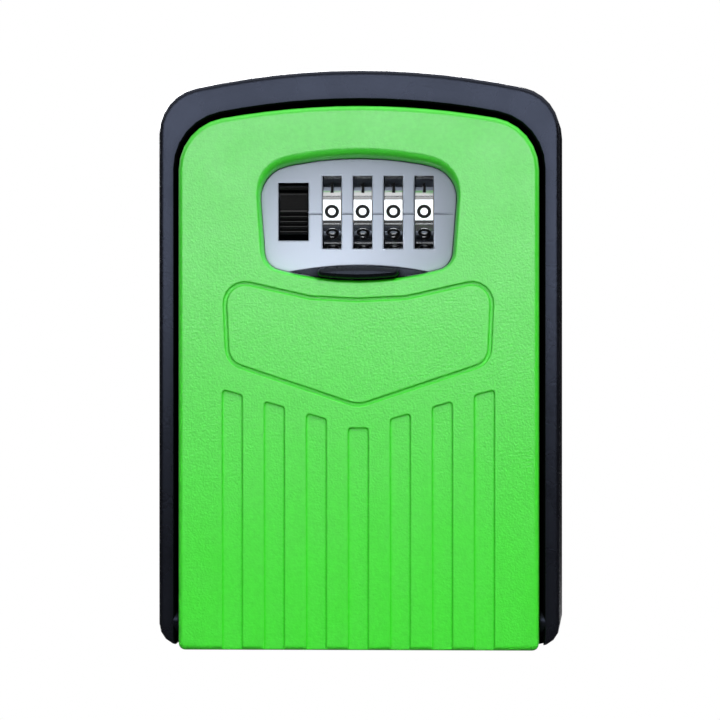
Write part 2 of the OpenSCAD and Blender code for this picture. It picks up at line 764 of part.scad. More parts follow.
// Dial with ten flats, a groove between each two, and the clutch pocket on its right
module dial(i) {
    x = first_x + (i - 1) * dial_pitch;
    color(silver) translate([x - dial_w / 2, -dial_depth, dial_z]) rotate([90, 0, 90]) difference() {
        linear_extrude(dial_w) difference() {
            rotate(180 / digit_count) circle(dial_r, $fn = digit_count);
            for (k = [0 : digit_count - 1]) rotate((k + 0.5) * 360 / digit_count) dial_groove();
        }
        translate([0, 0, -1]) cylinder(r = hub_r + run_gap, h = dial_w + 2);
        translate([0, 0, dial_w - clutch_depth]) cylinder(r = clutch_pocket_r, h = dial_w);
        for (k = [0 : digit_count - 1]) rotate((k + 0.5) * 360 / digit_count)
            translate([0, -lug_w / 2 - 0.15, dial_w - clutch_depth])
                cube([lug_r + 0.2, lug_w + 0.3, dial_w]);
    }
}

// Groove between two digits, its sides open a little
module dial_groove() {
    foot = dial_r - dial_groove_depth;
    half = dial_groove_w / 2;
    polygon([[foot, -half + 0.15], [dial_r, -half], [dial_r + 1, -half], [dial_r + 1, half],
        [dial_r, half], [foot, half - 0.15]]);
}
module dial_1() { dial(1); }
module dial_2() { dial(2); }
module dial_3() { dial(3); }
module dial_4() { dial(4); }

// Code sleeve: hub, clutch flange with lugs, and gate disc with its code gate at the top.
// A second notch lies between two digits, where no code can use it.
module code_sleeve(i) {
    x = first_x + (i - 1) * dial_pitch;
    clutch_z = dial_w - clutch_depth + 0.1 - sleeve_start - dial_w / 2;
    gate_z = dial_w / 2 + disc_gap - sleeve_start;
    color(brass) translate([x + sleeve_start, -dial_depth, dial_z]) rotate([90, 0, 90]) difference() {
        union() {
            cylinder(r = hub_r, h = sleeve_l);
            translate([0, 0, clutch_z]) cylinder(r = clutch_r, h = clutch_t);
            for (k = [0 : digit_count - 1]) rotate((k + 0.5) * 360 / digit_count)
                translate([hub_r, -lug_w / 2, clutch_z]) cube([lug_r - hub_r, lug_w, clutch_t]);
            translate([0, 0, clutch_z]) cylinder(r = gate_foot_r + 1, h = gate_z + gate_t - clutch_z);
            translate([0, 0, gate_z]) cylinder(r = gate_r, h = gate_t);
        }
        translate([0, 0, -1]) cylinder(r = shaft_r + run_gap, h = sleeve_l + 2);
        for (a = [0, 90]) rotate(a)
            translate([gate_foot_r, -gate_w / 2, clutch_z - 1]) cube([gate_r, gate_w, sleeve_l]);
    }
}
module code_sleeve_1() { code_sleeve(1); }
module code_sleeve_2() { code_sleeve(2); }
module code_sleeve_3() { code_sleeve(3); }
module code_sleeve_4() { code_sleeve(4); }

// Shaft that carries the sleeves, with a groove for its clip
module code_shaft() color(steel) difference() {
    rod(lever_left, shaft_end, dial_depth, dial_z, shaft_r);
    difference() {
        rod(clip_x, clip_x + clip_t, dial_depth, dial_z, shaft_r + 1);
        rod(clip_x, clip_x + clip_t, dial_depth, dial_z, shaft_r - 0.35);
    }
}

// Clip that pushes the sleeves over when the shaft is shifted
module shaft_clip() color(steel) difference() {
    rod(clip_x + 0.02, clip_x + clip_t - 0.02, dial_depth, dial_z, hub_r - 0.1);
    rod(clip_x - 1, clip_x + 1, dial_depth, dial_z, shaft_r - 0.35);
    block(clip_x - 1, clip_x + 1, dial_depth - hub_r, dial_depth, dial_z - 0.9, dial_z + 0.9);
}

// Lever on the shaft's end, its ribbed tip outside the rear cover
module reset_lever() color(black) difference() {
    tip = cover_back - 2.6;
    union() {
        rod(lever_left, lever_right, dial_depth, dial_z, hub_r);
        block(lever_left, lever_right, tip, dial_depth, dial_z - 2.2, dial_z + 2.2);
    }
    rod(lever_left - 1, lever_right + 1, dial_depth, dial_z, shaft_r);
    for (z = [-1.3, 0, 1.3])
        block(lever_left - 1, lever_right + 1, tip - 1, tip + 0.4, dial_z + z - 0.3, dial_z + z + 0.3);
}

// Coil of round wire along Z, one unbroken tube of six sides
module coil(r, wire, l, turns) {
    rings = turns * 8;
    points = [for (k = [0 : rings], j = [0 : 5])
        let (a = k * 45, b = j * 60, w = wire * cos(b))
        [(r + w) * cos(a), (r + w) * sin(a), wire + (l - 2 * wire) * k / rings + wire * sin(b)]];
    sides = [for (k = [0 : rings - 1], j = [0 : 5])
        let (a = k * 6 + j, b = k * 6 + (j + 1) % 6)
        each [[a, b, a + 6], [b, b + 6, a + 6]]];
    ends = [for (j = [1 : 4]) each [[0, j + 1, j], [rings * 6, rings * 6 + j, rings * 6 + j + 1]]];
    polyhedron(points, concat(sides, ends), convexity = 10);
}

// Spring between the last sleeve and the right wall
module reset_spring() color(steel)
    translate([sleeve_end + 0.05, -dial_depth, dial_z]) rotate([0, 90, 0])
        coil(hub_r - wire_r - 0.1, wire_r, spring_seat - sleeve_end - 0.1, 4);

// Ribbed slider seen in the plate's window, with a stem for the fence plate
module slider_button() color(black) difference() {
    union() {
        block(slider_x - button_w / 2, slider_x + button_w / 2, button_back, button_front - 1.1,
            button_foot, button_top);
        rib_field();
        block(stem_x - 1.4, stem_x + 1.4, fence_front, button_back + eps, dial_z - 4, dial_z + 4);
    }
    post(stem_x, dial_z, screw_r, fence_front - 1, button_back + 1.5);
}

// Grip ribs, a thumb ramp that falls away down to them and a lip at the top
module rib_field() {
    left = slider_x - slider_slot_w / 2 + 0.3;
    right = slider_x + slider_slot_w / 2 - 0.3;
    base = button_front - 1.2;
    rib_w = 0.75;
    land = 0.9;
    first_z = dial_z - slider_slot_down + 2.1;
    lip_z = dial_z + slider_slot_up - 1.2;
    ramp_top = lip_z - 1.5;
    ramp_foot = first_z + (rib_count - 1) * rib_pitch + rib_w;
    for (k = [0 : rib_count - 1]) rib(left, right, base, first_z + k * rib_pitch, rib_w);
    rib(left, right, base, lip_z, rib_w);
    translate([left, 0, 0]) rotate([90, 0, 90]) linear_extrude(right - left)
        polygon([[-base, ramp_foot], [-button_front, ramp_top - land], [-button_front, ramp_top - 0.2],
            [-base, ramp_top]]);
}

module rib(left, right, base, z, h) {
    translate([left, 0, 0]) rotate([90, 0, 90]) linear_extrude(right - left)
        polygon([[-base, z - h / 2], [-button_front, z - h / 3], [-button_front, z + h / 3],
            [-base, z + h / 2]]);
}

// Steel plate with a finger for each gate, a tail behind the button and a lug for the bolt
module fence_plate() color(steel) difference() {
    union() {
        slab(fence_back, fence_front) {
            translate([tail_left, tail_foot]) square([tail_right - tail_left, fence_top - tail_foot]);
            translate([tail_left, fence_foot])
                square([finger_right(dial_count) - tail_left, fence_top - fence_foot]);
            for (i = [1 : dial_count])
                translate([finger_left(i), finger_tip])
                    square([finger_right(i) - finger_left(i), fence_top - finger_tip]);
        }
        block(lug_left, lug_right, bolt_back + 0.5, fence_back + eps, lug_low, lug_low + lug_h);
    }
    post(stem_x, dial_z, screw_r + 0.1, fence_back - 1, fence_front + 1);
}
function finger_left(i) = first_x + (i - 1) * dial_pitch + dial_w / 2 + disc_gap + 0.05;
function finger_right(i) = first_x + i * dial_pitch - dial_w / 2 - free_gap;

module fence_screw() color(steel) {
    post(stem_x, dial_z, 2, fence_back - 0.9, fence_back);
    post(stem_x, dial_z, screw_r, fence_back - eps, fence_front + 3);
}

module slider_spring() color(steel)
    translate([stem_x, -dial_depth - 0.3, case_floor + 0.05])
        coil(coil_r, wire_r, tail_foot - case_floor - 0.1, coil_turns);

// Latch bolt: guide strip with a window for the fence plate's lug, and a broad tongue on top
module latch_bolt() color(steel) slab(bolt_back, bolt_front) difference() {
    polygon([[bolt_left, bolt_foot], [bolt_right, bolt_foot], [bolt_right, fence_foot],
        [bolt_left + tongue_w, fence_foot], [bolt_left + tongue_w, bolt_top - 0.8],
        [bolt_left + tongue_w - 0.8, bolt_top], [bolt_left + 0.8, bolt_top],
        [bolt_left, bolt_top - 0.8]]);
    translate([lug_left - 0.2, bolt_shoulder])
        square([lug_right - lug_left + 0.4, lug_low + lug_h + free_gap - bolt_shoulder]);
}

module bolt_spring() color(steel)
    translate([bolt_left + 2.8, -(bolt_back + bolt_front) / 2, case_floor + 0.05])
        coil(coil_r, wire_r, bolt_foot - case_floor - 0.1, coil_turns);

housing();
hinge_pin();
door_cover();
dial_plate();
finger_pull();
lock_case();
case_screws();
rear_cover();
rear_cover_screws();
detent_spring();
detent_screws();
dial_1();
dial_2();
dial_3();
dial_4();
code_sleeve_1();
code_sleeve_2();
code_sleeve_3();
code_sleeve_4();
code_shaft();
shaft_clip();
reset_lever();
reset_spring();
slider_button();
fence_plate();
fence_screw();
slider_spring();
latch_bolt();
bolt_spring();
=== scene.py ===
"""Dresses the combination lock box: finishes, springs, dial digits, floor, light and camera.

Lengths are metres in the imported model's frame: X right, Z up, the front faces -Y.
"""

import math

import bmesh
import bpy
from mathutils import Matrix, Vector


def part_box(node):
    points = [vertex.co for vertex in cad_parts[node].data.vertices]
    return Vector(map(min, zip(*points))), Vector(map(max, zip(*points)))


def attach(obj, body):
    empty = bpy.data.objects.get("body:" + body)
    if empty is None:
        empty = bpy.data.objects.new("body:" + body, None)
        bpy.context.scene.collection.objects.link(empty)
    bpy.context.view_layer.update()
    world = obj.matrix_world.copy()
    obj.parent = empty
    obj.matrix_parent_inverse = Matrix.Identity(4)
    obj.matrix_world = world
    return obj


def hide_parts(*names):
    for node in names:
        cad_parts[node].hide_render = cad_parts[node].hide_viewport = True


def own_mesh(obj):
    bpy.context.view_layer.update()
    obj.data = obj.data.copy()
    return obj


MM = 0.001

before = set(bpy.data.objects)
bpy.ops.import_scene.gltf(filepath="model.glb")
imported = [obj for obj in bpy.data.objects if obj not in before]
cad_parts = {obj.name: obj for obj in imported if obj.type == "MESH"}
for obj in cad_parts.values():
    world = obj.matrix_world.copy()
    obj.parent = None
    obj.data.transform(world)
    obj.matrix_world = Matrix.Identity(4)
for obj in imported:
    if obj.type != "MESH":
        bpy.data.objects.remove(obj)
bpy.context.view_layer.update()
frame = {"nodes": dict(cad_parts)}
nodes = frame["nodes"]


# Camera: level and a little to the right, with a long lens, as in the photograph

VIEW_AZIMUTH = math.radians(2.9)
VIEW_ELEVATION = math.radians(0.4)
VIEW_DISTANCE = 1.3
VIEW_WIDTH = 179.3 * MM
VIEW_TARGET = Vector((0.25, -46, -0.6)) * MM


def add_camera():
    """A camera that frames the rim of the housing as the photograph does."""
    data = bpy.data.cameras.new("camera")
    data.lens = data.sensor_width * VIEW_DISTANCE / VIEW_WIDTH
    camera = bpy.data.objects.new("camera", data)
    back = Vector(
        (
            math.sin(VIEW_AZIMUTH) * math.cos(VIEW_ELEVATION),
            -math.cos(VIEW_AZIMUTH) * math.cos(VIEW_ELEVATION),
            math.sin(VIEW_ELEVATION),
        )
    )
    camera.location = VIEW_TARGET + VIEW_DISTANCE * back
    camera.rotation_euler = (-back).to_track_quat("-Z", "Y").to_euler()
    bpy.context.scene.collection.objects.link(camera)
    bpy.context.scene.camera = camera


# Shader nodes that several trees use


def remap(tree, value, span, results=(0, 1)):
    """Maps value from a span to the one between two results, and stays at their ends beyond."""
    mapped = tree.nodes.new("ShaderNodeMapRange")
    names = ("From Min", "From Max", "To Min", "To Max")
    for name, number in zip(names, (*span, *results)):
        mapped.inputs[name].default_value = number
    tree.links.new(value, mapped.inputs["Value"])
    return mapped.outputs["Result"]


def shader_of(tree):
    """The Principled shader that a new material comes with."""
    return next(n for n in tree.nodes if n.type == "BSDF_PRINCIPLED")


# Light

# The world by a direction's rise, from -1 straight down to 1 straight up: the rises between
# which it changes, and its strengths there
FILL = ((-1, 1), (0, 0.6))
REFLECTION = ((0.15, 1), (0, 0.8))
BACKDROP = 1


def add_world():
    """White to the eye; as light and in reflections a studio that is brighter overhead."""
    world = bpy.data.worlds.new("studio")
    world.use_nodes = True
    tree = world.node_tree
    tree.nodes.clear()
    link = tree.links.new
    path = tree.nodes.new("ShaderNodeLightPath")
    direction = tree.nodes.new("ShaderNodeTexCoord")
    rise = tree.nodes.new("ShaderNodeSeparateXYZ")
    link(direction.outputs["Generated"], rise.inputs["Vector"])
    mirrored = tree.nodes.new("ShaderNodeMath")
    mirrored.operation = "MAXIMUM"
    link(path.outputs["Is Glossy Ray"], mirrored.inputs[0])
    link(path.outputs["Is Transmission Ray"], mirrored.inputs[1])
    studio = tree.nodes.new("ShaderNodeMix")
    link(mirrored.outputs["Value"], studio.inputs["Factor"])
    link(remap(tree, rise.outputs["Z"], *FILL), studio.inputs["A"])
    link(remap(tree, rise.outputs["Z"], *REFLECTION), studio.inputs["B"])
    strength = tree.nodes.new("ShaderNodeMix")
    link(path.outputs["Is Camera Ray"], strength.inputs["Factor"])
    link(studio.outputs["Result"], strength.inputs["A"])
    strength.inputs["B"].default_value = BACKDROP
    background = tree.nodes.new("ShaderNodeBackground")
    background.inputs["Color"].default_value = (1, 1, 1, 1)
    link(strength.outputs["Result"], background.inputs["Strength"])
    output = tree.nodes.new("ShaderNodeOutputWorld")
    link(background.outputs["Background"], output.inputs["Surface"])
    bpy.context.scene.world = world


def add_lamp(
    name,
    place,
    aim,
    size,
    power,
    colour=(1, 1, 1),
    shines=True,
    spread=180,
    not_on=(),
    only_on=(),
):
    """A soft area lamp of some watts at place, turned to aim.

    Its spread is in degrees. It spares the nodes in not_on, or lights those in only_on alone. A
    lamp that doesn't shine shows in no reflection, and is left out of multiple importance
    sampling, through which it would leak back in.
    """
    data = bpy.data.lights.new(name, "AREA")
    data.shape = "RECTANGLE"
    data.size, data.size_y = size
    data.energy = power
    data.color = colour
    data.spread = math.radians(spread)
    data.cycles.use_multiple_importance_sampling = shines
    lamp = bpy.data.objects.new(name, data)
    lamp.location = place
    lamp.rotation_euler = (Vector(aim) - Vector(place)).to_track_quat("-Z", "Y").to_euler()
    lamp.visible_camera = False
    lamp.visible_glossy = shines
    if not_on or only_on:
        named = bpy.data.collections.new(f"{name}_nodes")
        for node in not_on or only_on:
            named.objects.link(nodes[node])
            linking = named.collection_objects[-1].light_linking
            linking.link_state = "EXCLUDE" if not_on else "INCLUDE"
        lamp.light_linking.receiver_collection = named
    bpy.context.scene.collection.objects.link(lamp)


def add_lamps():
    """The studio's lamps.

    The key stands high on the right. The panel is mirrored in the upper half, the plate has a
    small lamp of its own, and the lift fills the lower half. The last three stand behind, for
    the sides and the back.
    """
    middle = (0, 0, 0)
    add_lamp(
        "key",
        place=(1.5, -2.4, 3.1),
        aim=middle,
        size=(1.2, 1.2),
        power=143,
        shines=False,
        not_on=("dial_plate",),
    )
    add_lamp(
        "panel",
        place=(0, -0.33, 0.064),
        aim=(0, 0, 0.064),
        size=(0.32, 0.12),
        power=0.27,
        colour=(0.92, 0.96, 1),
        not_on=("slider_button", "dial_plate"),
    )
    add_lamp(
        "plate",
        place=(-0.009, -0.091, 0.018),
        aim=(-0.009, 0, 0.018),
        size=(0.01, 0.01),
        power=0.033,
        shines=False,
        only_on=("dial_plate",),
    )
    add_lamp(
        "lift",
        place=(0, -0.4, -0.08),
        aim=(0, 0, -0.08),
        size=(0.3, 0.06),
        power=0.06,
        shines=False,
        spread=50,
    )
    add_lamp("left", place=(-0.8, 0.3, 0.3), aim=middle, size=(0.4, 0.5), power=0.8)
    add_lamp("right", place=(0.8, 0.3, 0.3), aim=middle, size=(0.4, 0.5), power=0.8)
    add_lamp("back", place=(-0.3, 0.9, 0.35), aim=middle, size=(0.8, 0.5), power=9)


# Materials

NOISE_DETAIL = 3
BEVEL_SAMPLES = 6
COVER_SAMPLES = 8
# Noise over which a colour and a roughness go from one end to the other
COLOUR_SPAN = (0.35, 0.65)
ROUGHNESS_SPAN = (0.3, 0.7)
# Openness of a corner, 1 on a plain face, over which the painted shade lifts from its paint and
# from its shine
PAINTED_SHADE_SPAN = (0.12, 0.62)
SHINE_SHADE_SPAN = (0.4, 0.9)


class Finish:
    """A material with a Principled shader and helpers for its procedural detail and painted shade.

    Its colour and roughness hold where no noise varies them and no painted shade darkens the
    colour.
    """

    def __init__(
        self, name, colour, roughness, metallic=0.0, specular=0.5, ior=1.5, tint=(1, 1, 1)
    ):
        self.material = bpy.data.materials.new(name)
        self.material.use_nodes = True
        self.tree = self.material.node_tree
        self.add = self.tree.nodes.new
        self.link = self.tree.links.new
        self.inputs = shader_of(self.tree).inputs
        self.inputs["Base Color"].default_value = (*colour, 1)
        self.inputs["Roughness"].default_value = roughness
        self.inputs["Metallic"].default_value = metallic
        self.inputs["Specular IOR Level"].default_value = specular
        self.inputs["IOR"].default_value = ior
        self.inputs["Specular Tint"].default_value = (*tint, 1)
        self.coordinates = self.add("ShaderNodeTexCoord").outputs["Object"]
        self.normal = None

    def noise(self, size, stretch=(1, 1, 1)):
        """Noise with features of the given size, drawn out along the axes by stretch."""
        mapping = self.add("ShaderNodeMapping")
        mapping.inputs["Scale"].default_value = [1 / s for s in stretch]
        noise = self.add("ShaderNodeTexNoise")
        noise.inputs["Scale"].default_value = 1 / size
        noise.inputs["Detail"].default_value = NOISE_DETAIL
        self.link(self.coordinates, mapping.inputs["Vector"])
        self.link(mapping.outputs["Vector"], noise.inputs["Vector"])
        return noise.outputs["Fac"]

    def vary_colour(self, dark, light, size):
        """Base colour that wanders between two colours over patches of the given size."""
        ramp = self.add("ShaderNodeValToRGB")
        for stop, position, colour in zip(ramp.color_ramp.elements, COLOUR_SPAN, (dark, light)):
            stop.position = position
            stop.color = (*colour, 1)
        self.link(self.noise(size), ramp.inputs["Fac"])
        self.link(ramp.outputs["Color"], self.inputs["Base Color"])

    def vary_roughness(self, low, high, size, stretch=(1, 1, 1)):
        """Roughness that wanders between low and high over patches of the given size."""
        varied = remap(self.tree, self.noise(size, stretch), ROUGHNESS_SPAN, (low, high))
        self.link(varied, self.inputs["Roughness"])

    def set_normal(self, normal):
        """Gives the shader its normal, on which the next grain lies."""
        self.normal = normal
        self.link(normal, self.inputs["Normal"])

    def round_edges(self, radius):
        """Softens sharp edges as a casting's or a punched sheet's own small radius does."""
        bevel = self.add("ShaderNodeBevel")
        bevel.samples = BEVEL_SAMPLES
        bevel.inputs["Radius"].default_value = radius
        self.set_normal(bevel.outputs["Normal"])

    def grain(self, size, depth):
        """Fine raised grain, as on a textured paint or a cast surface."""
        bump = self.add("ShaderNodeBump")
        bump.inputs["Distance"].default_value = depth
        bump.inputs["Strength"].default_value = 1
        self.link(self.noise(size), bump.inputs["Height"])
        if self.normal:
            self.link(self.normal, bump.inputs["Normal"])
        self.set_normal(bump.outputs["Normal"])

    def paint_corner_shade(self, reach, least=0.0):
        """Paints shade into corners within reach: takes their shine, and darkens their paint down
        to a share.
        """
        cover = self.add("ShaderNodeAmbientOcclusion")
        cover.samples = COVER_SAMPLES
        cover.inputs["Distance"].default_value = reach

        # Painted shade: the base colour goes towards black where the corner closes in
        colour = self.inputs["Base Color"]
        tone = self.add("ShaderNodeMix")
        tone.data_type = "RGBA"
        black, paint = (s for s in tone.inputs if s.name in "AB" and s.type == "RGBA")
        black.default_value = (0, 0, 0, 1)
        if colour.is_linked:
            self.link(colour.links[0].from_socket, paint)
        else:
            paint.default_value = colour.default_value
        unshaded_share = remap(self.tree, cover.outputs["AO"], PAINTED_SHADE_SPAN, (least, 1))
        self.link(unshaded_share, tone.inputs["Factor"])
        self.link(next(s for s in tone.outputs if s.type == "RGBA"), colour)

        # Painted shade on reflections: the specular level falls where the corner closes in
        specular = self.inputs["Specular IOR Level"]
        shine = self.add("ShaderNodeMath")
        shine.operation = "MULTIPLY"
        shine.inputs[1].default_value = specular.default_value
        self.link(remap(self.tree, cover.outputs["AO"], SHINE_SHADE_SPAN), shine.inputs[0])
        self.link(shine.outputs["Value"], specular)


def make_finishes():
    """Every material by its name."""
    made = {}

    def begin(name, **options):
        finish = Finish(name, **options)
        made[name] = finish.material
        return finish

    housing = begin(
        "housing_paint",
        colour=(0.003, 0.003, 0.004),
        roughness=0.27,
        specular=0.42,
        ior=1.8,
        tint=(0.62, 0.7, 1),
    )
    housing.round_edges(0.25 * MM)
    housing.vary_roughness(0.25, 0.3, size=9 * MM)
    housing.grain(size=0.8 * MM, depth=0.03 * MM)
    housing.grain(size=0.25 * MM, depth=0.008 * MM)
    # Painted shade: its gaps and recesses go black and lose their shine
    housing.paint_corner_shade(reach=9 * MM)

    door = begin("door_paint", colour=(0.04, 0.64, 0.02), roughness=0.3, specular=0.85, ior=1.8)
    door.round_edges(0.5 * MM)
    door.vary_colour((0.035, 0.61, 0.015), (0.045, 0.66, 0.023), size=1.2 * MM)
    door.vary_roughness(0.28, 0.34, size=8 * MM)
    door.grain(size=0.55 * MM, depth=0.075 * MM)
    door.grain(size=0.2 * MM, depth=0.01 * MM)
    # Painted shade: its grooves and recesses lose their shine and a little colour
    door.paint_corner_shade(reach=1.6 * MM, least=0.9)

    plate = begin("plate_silver", colour=(0.32, 0.36, 0.43), roughness=0.45, specular=0.3)
    plate.round_edges(0.12 * MM)
    plate.vary_roughness(0.4, 0.5, size=5 * MM)
    plate.grain(size=0.25 * MM, depth=0.006 * MM)
    # Painted shade: darker near the window's rim and around the slots
    plate.paint_corner_shade(reach=3 * MM, least=0.35)

    pull = begin(
        "black_plastic",
        colour=(0.0025, 0.003, 0.0035),
        roughness=0.3,
        specular=0.26,
        ior=1.8,
        tint=(0.7, 0.78, 1),
    )
    pull.round_edges(0.12 * MM)
    pull.vary_roughness(0.24, 0.3, size=3 * MM)
    pull.grain(size=0.3 * MM, depth=0.008 * MM)
    # Painted shade in its corners
    pull.paint_corner_shade(reach=2 * MM)

    slider = begin(
        "ribbed_black", colour=(0.0015, 0.0019, 0.0024), roughness=0.05, specular=0.9, ior=1.8
    )
    slider.round_edges(0.35 * MM)
    slider.vary_roughness(0.04, 0.06, size=3 * MM)

    cover = begin("cover_black", colour=(0.02, 0.02, 0.022), roughness=0.5, specular=0.4)
    cover.round_edges(0.15 * MM)
    cover.grain(size=0.4 * MM, depth=0.015 * MM)

    zinc = begin("zinc", colour=(0.42, 0.43, 0.45), roughness=0.45, metallic=0.9)
    zinc.round_edges(0.25 * MM)
    zinc.vary_colour((0.36, 0.37, 0.39), (0.46, 0.47, 0.49), size=4 * MM)
    zinc.grain(size=0.5 * MM, depth=0.02 * MM)

    steel = begin("steel", colour=(0.62, 0.62, 0.63), roughness=0.28, metallic=1.0)
    steel.round_edges(0.1 * MM)
    steel.vary_roughness(0.22, 0.36, size=1.5 * MM, stretch=(6, 1, 1))

    pin = begin("dark_steel", colour=(0.07, 0.07, 0.075), roughness=0.4, metallic=0.8)
    pin.vary_roughness(0.34, 0.46, size=1.5 * MM, stretch=(6, 1, 1))
    # Painted shade where other parts close round it
    pin.paint_corner_shade(reach=6 * MM)

    chrome = begin("dial_chrome", colour=(0.86, 0.87, 0.88), roughness=0.1, metallic=1.0)
    chrome.round_edges(0.12 * MM)
    chrome.vary_roughness(0.06, 0.14, size=2 * MM)

    brass = begin("brass", colour=(0.72, 0.52, 0.24), roughness=0.3, metallic=1.0)
    brass.round_edges(0.1 * MM)
    brass.vary_roughness(0.24, 0.38, size=1.5 * MM)

    ink = begin("digit_black", colour=(0.004, 0.004, 0.004), roughness=0.5, specular=0.3)
    ink.grain(size=0.2 * MM, depth=0.01 * MM)
    return made


# Finishes of the nodes and of the numbered kinds of node; every other node is steel
FINISH_OF_NODE = {
    "housing": "housing_paint",
    "door_cover": "door_paint",
    "dial_plate": "plate_silver",
    "finger_pull": "black_plastic",
    "slider_button": "ribbed_black",
    "reset_lever": "black_plastic",
    "rear_cover": "cover_black",
    "lock_case": "zinc",
    "hinge_pin": "dark_steel",
}
FINISH_OF_KIND = {"dial": "dial_chrome", "code_sleeve": "brass"}

# The CAD's faces are joined where points lie within WELD of each other, and shaded smooth across
# edges that bend less than SMOOTH_BELOW
WELD = 0.001 * MM
SMOOTH_BELOW = math.radians(26)


def make_smoothing():
    """A node group that joins the CAD's faces, then shades smooth across the flatter edges."""
    group = bpy.data.node_groups.new("smooth_curves", "GeometryNodeTree")
    for way in ("INPUT", "OUTPUT"):
        group.interface.new_socket("Geometry", in_out=way, socket_type="NodeSocketGeometry")
    source = group.nodes.new("NodeGroupInput")
    weld = group.nodes.new("GeometryNodeMergeByDistance")
    faces = group.nodes.new("GeometryNodeSetShadeSmooth")
    edges = group.nodes.new("GeometryNodeSetShadeSmooth")
    result = group.nodes.new("NodeGroupOutput")
    angle = group.nodes.new("GeometryNodeInputMeshEdgeAngle")
    flat = group.nodes.new("FunctionNodeCompare")
    weld.inputs["Distance"].default_value = WELD
    edges.domain = "EDGE"
    flat.operation = "LESS_THAN"
    flat.inputs["B"].default_value = SMOOTH_BELOW
    link = group.links.new
    link(angle.outputs["Unsigned Angle"], flat.inputs["A"])
    link(flat.outputs["Result"], edges.inputs["Shade Smooth"])
    chain = (source, weld, faces, edges, result)
    for before, after in zip(chain, chain[1:]):
        link(before.outputs["Geometry"], after.inputs["Geometry"])
    return group


# Springs that a joint presses together: the joint, the way they press and whether the low end stays
PRESSED = {
    "slider_spring": ("slider_travel", Vector((0, 0, 1)), True),
    "reset_spring": ("reset_shift", Vector((1, 0, 0)), False),
}


def add_springs():
    """Copies of the springs, attached to the door's body, by the names of the CAD's that they
    replace.
    """
    springs = {}
    for name, (joint, axis, low_stays) in PRESSED.items():
        spring = bpy.data.objects.new(f"{name}_coil", nodes[name].data.copy())
        bpy.context.scene.collection.objects.link(spring)
        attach(spring, "door_body")
        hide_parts(name)
        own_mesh(spring)
        springs[name] = spring
    return springs


def dress_nodes(finishes):
    """Gives every CAD node, or the spring in its place, smooth curves and its finish."""
    smoothing = make_smoothing()
    for name, node in {**nodes, **add_springs()}.items():
        node.modifiers.new("smooth_curves", "NODES").node_group = smoothing
        weighted = node.modifiers.new("flat_faces_stay_flat", "WEIGHTED_NORMAL")
        weighted.keep_sharp = True
        kind = name.rstrip("_1234")
        finish = FINISH_OF_NODE.get(name) or FINISH_OF_KIND.get(kind, "steel")
        for place in node.material_slots:
            place.material = finishes[finish]


# Digits: strokes with a raised chrome border and a black fill, ten on each dial

# Size of a digit, and how far it sits below the middle of its facet
DIGIT_W = 2.73 * MM
DIGIT_H = 2.6 * MM
DIGIT_DROP = 0.35 * MM

# Beads along a stroke: the width, the share of it from the middle to the flat top's edge, and
# the heights of the foot and the top above the facet
BORDER = (0.96 * MM, 0.36, -0.01 * MM, 0.05 * MM)
INK = (0.7 * MM, 0.46, 0.03 * MM, 0.06 * MM)

# Places of the two materials in a piece of digits
CHROME = 0
BLACK = 1

# Ends of a stroke that are closer than this meet, and a corner widens it at most so many times
CLOSED_BELOW = 1e-6
WIDEST_CORNER = 2


def arc(x, y, rx, ry, start, end, steps):
    """Points on an ellipse's arc between two angles in degrees."""
    turn = [math.radians(start + (end - start) * k / steps) for k in range(steps + 1)]
    return [(x + rx * math.cos(t), y + ry * math.sin(t)) for t in turn]


# Strokes of each digit in a box from -0.5 to 0.5 each way
DIGITS = [
    [arc(0, 0, 0.5, 0.5, 90, 450, 32)],
    [[(-0.16, 0.3), (0, 0.5), (0, -0.5)]],
    [arc(0, 0.2, 0.44, 0.3, 160, -35, 12) + [(-0.44, -0.5), (0.46, -0.5)]],
    [arc(0, 0.25, 0.4, 0.25, 150, -90, 12) + arc(0, -0.25, 0.44, 0.25, 90, -150, 12)[1:]],
    [[(0.2, -0.5), (0.2, 0.5), (-0.48, -0.2), (0.5, -0.2)]],
    [[(0.4, 0.5), (-0.34, 0.5), (-0.4, 0.06)] + arc(0, -0.17, 0.46, 0.33, 140, -150, 14)],
    [arc(0.05, 0, 0.5, 0.5, 70, 180, 8) + arc(0, -0.18, 0.45, 0.32, 180, 540, 24)],
    [[(-0.45, 0.5), (0.46, 0.5), (-0.12, -0.5)]],
    [arc(0, 0.26, 0.38, 0.24, -90, 270, 22), arc(0, -0.24, 0.46, 0.26, 90, 450, 24)],
    [arc(-0.05, 0, 0.5, 0.5, 250, 360, 8) + arc(0, 0.18, 0.45, 0.32, 0, 360, 24)],
]


def stroke(mesh, points, bead, place, material):
    """A flat-topped bead along points, set on a facet by place(x, y, height)."""
    width, land, foot, top = bead
    closed = math.dist(points[0], points[-1]) < CLOSED_BELOW
    if closed:
        points = points[:-1]
    count = len(points)
    profile = [(-0.5, foot), (-land, top), (land, top), (0.5, foot)]
    rings = []
    for i, (x, y) in enumerate(points):
        before = points[(i - 1) % count] if closed or i else points[i]
        after = points[(i + 1) % count] if closed or i < count - 1 else points[i]
        run_in = Vector((x - before[0], y - before[1]))
        run_out = Vector((after[0] - x, after[1] - y))
        along = (run_in.normalized() + run_out.normalized()).normalized()
        side = Vector((-along.y, along.x))
        straight = run_out if run_out.length > run_in.length else run_in
        across = Vector((-straight.y, straight.x)).normalized()
        cut = max(1 / WIDEST_CORNER, abs(side.dot(across)))
        rings.append(
            [
                mesh.verts.new(place(x + side.x * s * width / cut, y + side.y * s * width / cut, h))
                for s, h in profile
            ]
        )
    pairs = list(zip(rings, rings[1:])) + ([(rings[-1], rings[0])] if closed else [])
    for a, b in pairs:
        for j in range(len(profile)):
            k = (j + 1) % len(profile)
            mesh.faces.new((a[j], b[j], b[k], a[k])).material_index = material
    if not closed:
        mesh.faces.new(rings[0]).material_index = material
        mesh.faces.new(rings[-1][::-1]).material_index = material


